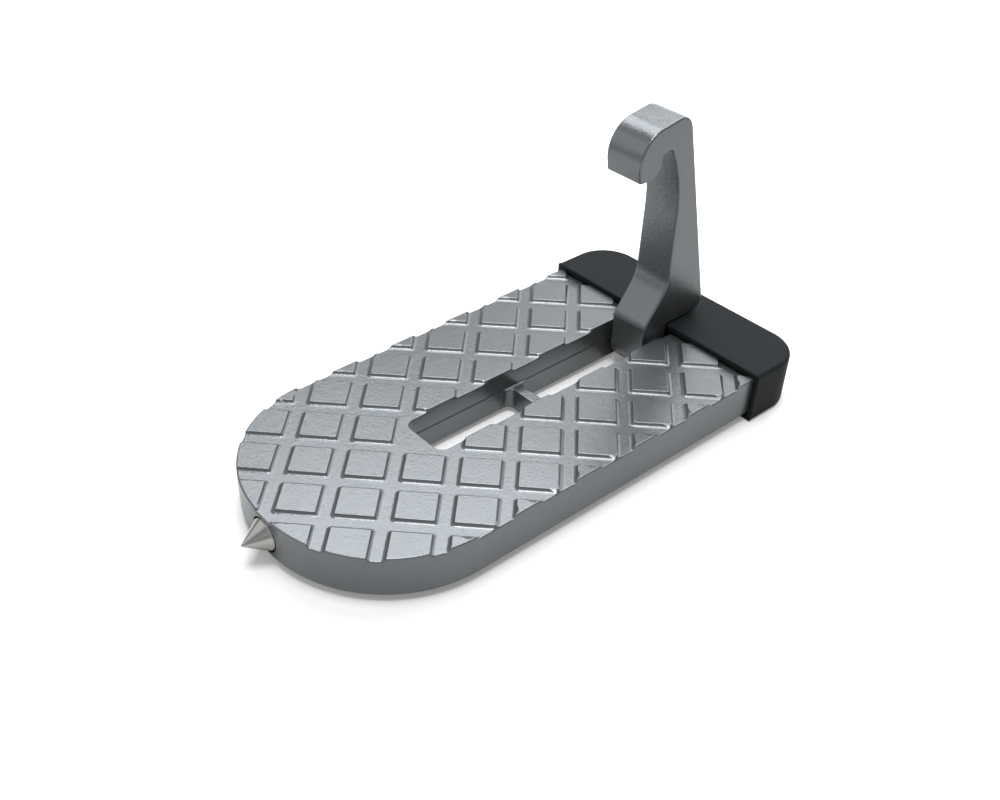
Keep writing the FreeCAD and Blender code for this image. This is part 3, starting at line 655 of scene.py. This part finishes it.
def web(surface):
    """Low web across the slot, with a round upper edge and wide corners."""
    front = SLOT_FRONT + WEB_FROM_SLOT
    back = front + WEB_THICKNESS
    half = SLOT_WIDTH / 2
    corners = []
    for x, y, side_x, side_y in ((half, front, 1, -1), (half, back, 1, 1),
                                 (-half, back, -1, 1), (-half, front, -1, -1)):
        end = y + side_y * (WEB_FILLET + WEB_BURIED)
        ends = [(x, y, WEB_FILLET), (x, end, SHARP), (x + side_x * WEB_BURIED, end, SHARP)]
        corners += ends[::-1] if side_x == side_y else ends
    points, outward = trace(corners, WEB_SPACING)
    rows, normals = [], []
    for angle in round_angles(EDGE_STEPS):
        ring = points - outward * WEB_EDGE * (1 - math.sin(angle))
        rows.append(lift(ring, MID_HEIGHT - WEB_EDGE * (1 - math.cos(angle))))
        normals.append(lift(math.sin(angle) * outward, math.cos(angle)))
    rows.append(lift(points, plate_low.z))
    normals.append(lift(outward, 0))
    surface.add_grid(rows, normals)
    surface.add_level(rows[0], 1)
    surface.add_level(rows[-1], -1)


def make_plate(material):
    surface = Surface()
    rims = tread(surface)
    outer_wall(surface, *rims[0])
    slot_wall(surface, *rims[1])
    tip_recess(surface)
    pin_mouth(surface)
    underside(surface)
    web(surface)
    plate = surface.build("tread_plate", material, "base")
    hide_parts("step_plate")


# Hook


def hook_outline():
    """Side outline of the hook as Y, Z and radius, anticlockwise seen from +X."""
    heel_bottom = cap_high.z + HEEL_GAP
    shank_front = PIN_Y + SHANK_FROM_PIN
    mouth_front = shank_front - MOUTH_WIDTH
    mouth_back = shank_front - (MOUTH_TOP - THROAT) * math.tan(MOUTH_LEAN)
    nose_inside = mouth_front - NOSE_BEVEL
    nose_front = nose_inside - NOSE_FLAT
    crown_back = PIN_Y + CROWN_FROM_PIN
    crown_share = (math.cos(CROWN_SLOPE) + math.sin(BACK_LEAN)) / (
        1 + math.sin(BACK_LEAN - CROWN_SLOPE))
    crown = hook_high.z - CROWN_RADIUS * (1 - crown_share)
    heel_back = crown_back + (crown - heel_bottom) * math.tan(BACK_LEAN)
    lean, fall = math.tan(NOSE_LEAN), math.tan(CROWN_SLOPE)
    nose_rise = (crown - (crown_back - nose_front) * fall - NOSE_END) / (1 + lean * fall)
    return [
        (FOOT_BACK, heel_bottom, HEEL_FRONT_RADIUS),
        (heel_back, heel_bottom, HEEL_RADIUS),
        (crown_back, crown, CROWN_RADIUS),
        (nose_front - nose_rise * lean, NOSE_END + nose_rise, NOSE_TOP_RADIUS),
        (nose_front, NOSE_END, NOSE_OUTER_RADIUS),
        (nose_inside, NOSE_END, NOSE_INNER_RADIUS),
        (mouth_front, NOSE_END + NOSE_BEVEL, NOSE_BEVEL_RADIUS),
        (mouth_front, MOUTH_TOP, MOUTH_RADIUS),
        (mouth_back, MOUTH_TOP, MOUTH_RADIUS),
        (shank_front, THROAT, THROAT_RADIUS),
        (shank_front, SHANK_FOOT, SHANK_FOOT_RADIUS),
        (FOOT_FRONT, TOE_HEIGHT, TOE_RADIUS),
    ]


def hook_profile():
    """The whole side outline, with the round foot between the heel and the foot's front."""
    below = [(FOOT_FRONT, MID_HEIGHT, SHARP), (FOOT_BACK, MID_HEIGHT, SHARP)]
    points, normals = trace(hook_outline() + below, HOOK_SPACING)
    upper = points[:, 1] > MID_HEIGHT + FOOT_CUT
    points, normals = points[upper], normals[upper]
    gaps = np.linalg.norm(points - np.roll(points, 1, axis=0), axis=1)
    first = int(np.argmax(gaps))
    points, normals = np.roll(points, -first, axis=0), np.roll(normals, -first, axis=0)
    start = math.pi
    end = 2 * math.pi + math.acos((FOOT_BACK - PIN_Y) / KNUCKLE_RADIUS)
    angles = [start + (end - start) * step / FOOT_STEPS for step in range(FOOT_STEPS + 1)]
    foot_normals = np.array([(math.cos(a), math.sin(a)) for a in angles])
    foot = np.array((PIN_Y, MID_HEIGHT)) + KNUCKLE_RADIUS * foot_normals
    return np.concatenate([points, foot]), np.concatenate([normals, foot_normals])


def make_hook(material):
    surface = Surface()
    points, outward = hook_profile()
    rows, normals = [], []
    half = HOOK_WIDTH / 2
    for side in (-1, 1):
        angles = round_angles(EDGE_STEPS)
        for angle in angles[::-1] if side < 0 else angles:
            ring = points - outward * HOOK_EDGE * (1 - math.cos(angle))
            reach = side * (half - HOOK_EDGE * (1 - math.sin(angle)))
            rows.append(np.column_stack([np.full(len(points), reach), ring]))
            normals.append(np.column_stack([np.full(len(points), side * math.sin(angle)),
                                            math.cos(angle) * outward]))
    surface.add_grid(rows, normals)
    for side, row in ((-1, rows[0]), (1, rows[-1])):
        loops = [[tuple(point[1:]) for point in row]]
        surface.add_flat(loops, (side, 0, 0), lambda y, z: (side * half, y, z))
    boss_reach = hook_high.x
    for side in (-1, 1):
        profile = [(side * (half - HUB_BURIED), HUB_RADIUS),
                   (side * (boss_reach - HUB_EDGE), HUB_RADIUS),
                   (side * boss_reach, HUB_RADIUS - HUB_EDGE),
                   (side * boss_reach, PIN_RADIUS)]
        turned(surface, profile, lambda along, out, up: (along, PIN_Y + out, MID_HEIGHT + up), side)
    hook = surface.build("folding_hook", material, "hook")
    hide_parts("hook")


def turned(surface, profile, place, side=1, steps=CIRCLE_STEPS):
    """Straight stretches of a turned shape, each with its own sharp-edged normals.

    The profile is distances along the axis and radii, and place sets them in the frame.
    """
    angles = circle(steps)
    origin = np.array(place(0, 0, 0))
    for (first, low), (second, high) in zip(profile, profile[1:]):
        lean = np.array([(high - low) * -side, (second - first) * side])
        lean = lean / np.linalg.norm(lean)
        rows, normals = [], []
        for along, radius in ((first, low), (second, high)):
            rows.append([place(along, radius * math.cos(a), radius * math.sin(a)) for a in angles])
            normals.append([np.array(place(lean[0], lean[1] * math.cos(a), lean[1] * math.sin(a)))
                            - origin for a in angles])
        surface.add_grid(rows, normals)


# Hammer tip


def make_tip(material):
    """Turned cone with a small blunt point and a shank in the plate."""
    surface = Surface()
    base = plate_low.y
    seat = base + TIP_SEAT_DEPTH
    slope = (base - tip_low.y) / (TIP_RADIUS - TIP_POINT)
    profile = [(tip_low.y, 0.0),
               (tip_low.y, TIP_POINT * TIP_BLUNT_SHARE),
               (tip_low.y + TIP_POINT * (1 - TIP_BLUNT_SHARE) * slope, TIP_POINT),
               (base - TIP_EDGE * slope, TIP_RADIUS - TIP_EDGE),
               (base + TIP_EDGE, TIP_RADIUS),
               (seat - TIP_EDGE, TIP_RADIUS),
               (seat, TIP_RADIUS - TIP_EDGE),
               (seat, TIP_SHANK),
               (tip_high.y, TIP_SHANK),
               (tip_high.y, 0.0)]
    turned(surface, profile, lambda along, out, up: (out, along, MID_HEIGHT + up), steps=CONE_STEPS)
    tip = surface.build("steel_cone", material, "base")
    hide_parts("hammer_tip")


# Rubber cap


def make_cap(material):
    """Cap with round outer edges, an open front and the plate's shape inside."""
    surface = Surface()
    points, outward = trace(box_corners(*CAP_BOX), CAP_SPACING)
    front_share = np.clip(-outward[:, 1], 0, 1)[:, None]
    radius = CAP_EDGE + (CAP_LIP - CAP_EDGE) * front_share
    rows, normals = [], []
    for side in (1, -1):
        angles = round_angles(WIDE_EDGE_STEPS)
        for angle in angles[::-1] if side > 0 else angles:
            ring = points - outward * radius * (1 - math.cos(angle))
            edge = cap_high.z if side > 0 else cap_low.z
            rows.append(lift(ring, edge - side * radius[:, 0] * (1 - math.sin(angle))))
            normals.append(lift(math.cos(angle) * outward, side * math.sin(angle)))
    wall = len(rows) // 2
    surface.add_grid(rows[:wall], normals[:wall])
    surface.add_grid(rows[wall:], normals[wall:])
    add_cap_sides(surface, rows[wall - 1], rows[wall], normals[wall], outward)
    surface.add_level(rows[0], 1)
    surface.add_level(rows[-1], -1)

    inner = cap_high.x - CAP_SKIN
    low, high = cap_low.z + CAP_SKIN, cap_high.z - CAP_SKIN
    rim = upright_box(cap_high.x - CAP_LIP, cap_low.z + CAP_LIP, cap_high.z - CAP_LIP)
    mouth = upright_box(inner, low, high)
    surface.add_flat([rim, mouth], (0, -1, 0), lambda x, z: (x, cap_low.y, z))
    cap_inside(surface, inner, low, high)
    cap = surface.build("rubber_cap", material, "base")
    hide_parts("end_cap")


def add_cap_sides(surface, upper, lower, normals, outward):
    """Upright walls between two rows of points, all round but not across the open front."""
    across_front = outward[:, 1] < -0.999
    for step in range(len(upper)):
        ahead = (step + 1) % len(upper)
        if across_front[step] and across_front[ahead]:
            continue
        surface.add([upper[step], upper[ahead], lower[ahead], lower[step]],
                    [normals[step], normals[ahead]] * 2, [(0, 1, 2, 3)])


def upright_box(half, low, high):
    """Loop of a box in X and Z."""
    return [(half, low), (half, high), (-half, high), (-half, low)]


def cap_inside(surface, inner, low, high):
    """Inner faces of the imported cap."""
    margin, back_margin = 0.02, 0.1
    points, faces, normals = packed_mesh("end_cap")
    within = ((np.abs(points[:, 0]) < inner + margin) & (points[:, 2] > low - margin)
              & (points[:, 2] < high + margin) & (points[:, 1] < plate_high.y + back_margin))
    behind_front = points[:, 1] > cap_low.y + margin
    kept = within[faces].all(axis=1) & behind_front[faces].any(axis=1)
    kept &= np.linalg.norm(normals, axis=1) > 0
    surface.add_packed(points, faces[kept], normals[kept])


# Materials


class Nodes:
    """A node tree, with short ways to add and join its nodes."""

    def __init__(self, tree):
        self.tree = tree

    def node(self, kind, **inputs):
        """New node. An underscore in an input's name stands for a space."""
        node = self.tree.nodes.new(kind)
        for name, value in inputs.items():
            node.inputs[name.replace("_", " ")].default_value = value
        return node

    def link(self, source, output, target, entry):
        self.tree.links.new(source.outputs[output], target.inputs[entry])

    def formula(self, operation, *values):
        """Math node. Each value is a number, or a node with the name of its output."""
        node = self.node("ShaderNodeMath")
        node.operation = operation
        for entry, value in enumerate(values):
            if isinstance(value, tuple):
                self.link(*value, node, entry)
            else:
                node.inputs[entry].default_value = value
        return node

    def span(self, source, output, low, high, from_low=0.0, from_high=1.0):
        """Value of a node's output, moved from one range to another."""
        node = self.node("ShaderNodeMapRange", From_Min=from_low, From_Max=from_high,
                         To_Min=low, To_Max=high)
        self.link(source, output, node, "Value")
        return node

    def seen_white(self, for_camera, reflected):
        """How white something looks: one value for the camera, another in metal and glass."""
        path = self.node("ShaderNodeLightPath")
        shiny = self.formula("MAXIMUM", (path, "Is Glossy Ray"), (path, "Is Transmission Ray"))
        direct = self.formula("MULTIPLY", (path, "Is Camera Ray"), for_camera)
        return self.formula("MULTIPLY_ADD", (shiny, "Value"), reflected, (direct, "Value"))


class Finish(Nodes):
    """A material, with short ways to set its colour, roughness and relief."""

    def __init__(self, name):
        self.material = bpy.data.materials.new(name)
        self.material.use_nodes = True
        super().__init__(self.material.node_tree)
        self.shader = self.tree.nodes["Principled BSDF"]
        self.place = self.node("ShaderNodeTexCoord")

    def put(self, name, value):
        self.shader.inputs[name].default_value = value

    def noise(self, scale, detail):
        node = self.node("ShaderNodeTexNoise", Scale=scale, Detail=detail)
        self.link(self.place, "Object", node, "Vector")
        return node

    def tones(self, source, dark, light):
        """Colour that drifts between two tones."""
        ramp = self.node("ShaderNodeValToRGB")
        for element, position, tone in zip(ramp.color_ramp.elements, TONE_SPAN, (dark, light)):
            element.position = position
            element.color = (*tone, 1)
        self.link(source, "Fac", ramp, "Fac")
        self.link(ramp, "Color", self.shader, "Base Color")

    def roughness(self, source, low, high):
        rough = self.span(source, "Fac", low, high)
        self.link(rough, "Result", self.shader, "Roughness")

    def bump(self, sources, strength, distance):
        """Chain of bumps from height nodes, given as node, output and share of the distance."""
        previous = None
        for source, output, share in sources:
            node = self.node("ShaderNodeBump", Strength=strength, Distance=distance * share)
            self.link(source, output, node, "Height")
            if previous is not None:
                self.link(previous, "Normal", node, "Normal")
            previous = node
        self.link(previous, "Normal", self.shader, "Normal")


def casting_finish():
    """Silver-grey satin paint over a fine cast skin, with a few small pits."""
    finish = Finish("painted_casting")
    cloud = finish.noise(28.0, detail=4.0)
    grain = finish.noise(1400.0, detail=2.0)
    dents = finish.noise(420.0, detail=3.0)
    specks = finish.node("ShaderNodeTexVoronoi", Scale=200.0)
    finish.link(finish.place, "Object", specks, "Vector")
    pits = finish.span(specks, "Distance", 0.0, 1.0, from_high=0.07)
    finish.tones(cloud, *PAINT_TONES)
    finish.put("Metallic", PAINT_METALLIC)
    finish.roughness(grain, *PAINT_ROUGHNESS)
    relief = [(grain, "Fac", 1.0), (dents, "Fac", 0.9), (pits, "Result", 0.5)]
    finish.bump(relief, strength=0.5, distance=0.0001)
    return finish.material


def rubber_finish():
    """Matte black rubber with a fine grain."""
    finish = Finish("black_rubber")
    cloud = finish.noise(40.0, detail=4.0)
    grain = finish.noise(2200.0, detail=2.0)
    finish.tones(cloud, *RUBBER_TONES)
    finish.put("Specular IOR Level", RUBBER_SHINE)
    finish.roughness(cloud, *RUBBER_ROUGHNESS)
    finish.bump([(grain, "Fac", 1.0)], strength=0.4, distance=0.00003)
    return finish.material


def steel_finish():
    """Turned and polished steel, with faint rings round the cone."""
    finish = Finish("turned_steel")
    streak = finish.noise(300.0, detail=2.0)
    rings = finish.node("ShaderNodeTexWave", Scale=900.0, Distortion=0.4, Detail=1.0)
    rings.bands_direction = "Y"
    finish.link(finish.place, "Object", rings, "Vector")
    finish.put("Base Color", (*STEEL_COLOUR, 1))
    finish.put("Metallic", 1.0)
    finish.roughness(streak, *STEEL_ROUGHNESS)
    finish.bump([(rings, "Fac", 1.0)], strength=0.15, distance=0.00002)
    return finish.material


# Stage, lights and camera


def make_floor():
    """Pale floor that looks white away from the object and keeps its soft shadow; it glows less near
    the object, which is painted shade round it.
    """
    bpy.ops.mesh.primitive_plane_add(size=FLOOR_SIZE)
    floor = bpy.context.object
    floor.name = "floor"
    finish = Finish("floor_white")
    finish.put("Base Color", (*FLOOR_COLOUR, 1))
    finish.put("Roughness", 0.9)
    finish.put("Specular IOR Level", 0.1)
    distance = finish.node("ShaderNodeVectorMath")
    distance.operation = "LENGTH"
    finish.link(finish.place, "Object", distance, 0)
    # Painted shade: the floor glows less for the camera near the object than far from it.
    glow_with_painted_shade = finish.span(distance, "Value", FLOOR_GLOW_IN_PAINTED_SHADE, FLOOR_GLOW_FAR, PAINTED_SHADE_FULL_TO, PAINTED_SHADE_GONE_AT)
    glow_with_painted_shade.interpolation_type = "SMOOTHSTEP"
    glow = finish.seen_white((glow_with_painted_shade, "Result"), FLOOR_GLOW_REFLECTED)
    finish.put("Emission Color", (1, 1, 1, 1))
    finish.link(glow, "Value", finish.shader, "Emission Strength")
    floor.data.materials.append(finish.material)


def make_world():
    """Soft even light, and a white background for the camera and in shiny surfaces."""
    world = bpy.data.worlds.new("studio")
    bpy.context.scene.world = world
    world.use_nodes = True
    nodes = Nodes(world.node_tree)
    light = nodes.tree.nodes["Background"]
    light.inputs["Color"].default_value = (*WORLD_COLOUR, 1)
    light.inputs["Strength"].default_value = WORLD_STRENGTH
    white = nodes.node("ShaderNodeBackground", Color=(1, 1, 1, 1))
    mix = nodes.node("ShaderNodeMixShader")
    nodes.link(nodes.seen_white(1.0, WORLD_REFLECTED), "Value", mix, "Fac")
    nodes.link(light, "Background", mix, 1)
    nodes.link(white, "Background", mix, 2)
    nodes.link(mix, "Shader", nodes.tree.nodes["World Output"], "Surface")


def make_lamp(name, place, target, size, watts):
    """Soft lamp that points at a target, with all lengths in metres."""
    data = bpy.data.lights.new(name, "AREA")
    data.shape = "RECTANGLE"
    data.size, data.size_y = size
    data.energy = watts
    data.color = LAMP_COLOUR
    lamp = bpy.data.objects.new(name, data)
    bpy.context.scene.collection.objects.link(lamp)
    lamp.location = place
    aim = Vector(target) - Vector(place)
    lamp.rotation_euler = aim.to_track_quat("-Z", "Y").to_euler()


def make_camera():
    data = bpy.data.cameras.new("camera")
    data.lens = CAMERA_LENS
    data.shift_x, data.shift_y = CAMERA_SHIFT
    camera = bpy.data.objects.new("camera", data)
    bpy.context.scene.collection.objects.link(camera)
    turn = (Matrix.Rotation(math.radians(CAMERA_HEADING), 4, "Z")
            @ Matrix.Rotation(math.radians(CAMERA_TILT), 4, "X")
            @ Matrix.Rotation(math.radians(CAMERA_ROLL), 4, "Z"))
    camera.matrix_world = Matrix.Translation(Vector(CAMERA_PLACE) * MM) @ turn
    bpy.context.scene.camera = camera


casting = casting_finish()
rubber = rubber_finish()
steel = steel_finish()
make_plate(casting)
make_hook(casting)
make_tip(steel)
make_cap(rubber)
pin_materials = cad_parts["hinge_pin"].data.materials
pin_materials.clear()
pin_materials.append(steel)

make_floor()
make_world()
make_lamp("key", place=(-0.31, 0.37, 0.735), target=(0, 0, 0), size=(0.85, 0.5), watts=6.2)
make_lamp("top", place=(0.06, -0.08, 0.90), target=(0, 0, 0), size=(0.40, 0.40), watts=6.0)
make_lamp("back", place=(-0.30, 1.0, 0.42), target=(0, 0, 0), size=(1.2, 0.4), watts=3.2)
make_lamp("front_left", place=(-0.50, -0.70, 0.50), target=(0, 0, 0.02), size=(0.9, 0.7), watts=1.4)
make_lamp("front_right", place=(0.75, -0.65, 0.75), target=(0, 0, 0.02), size=(0.8, 0.8), watts=0.4)
make_camera()
bpy.context.scene.view_settings.view_transform = "Standard"
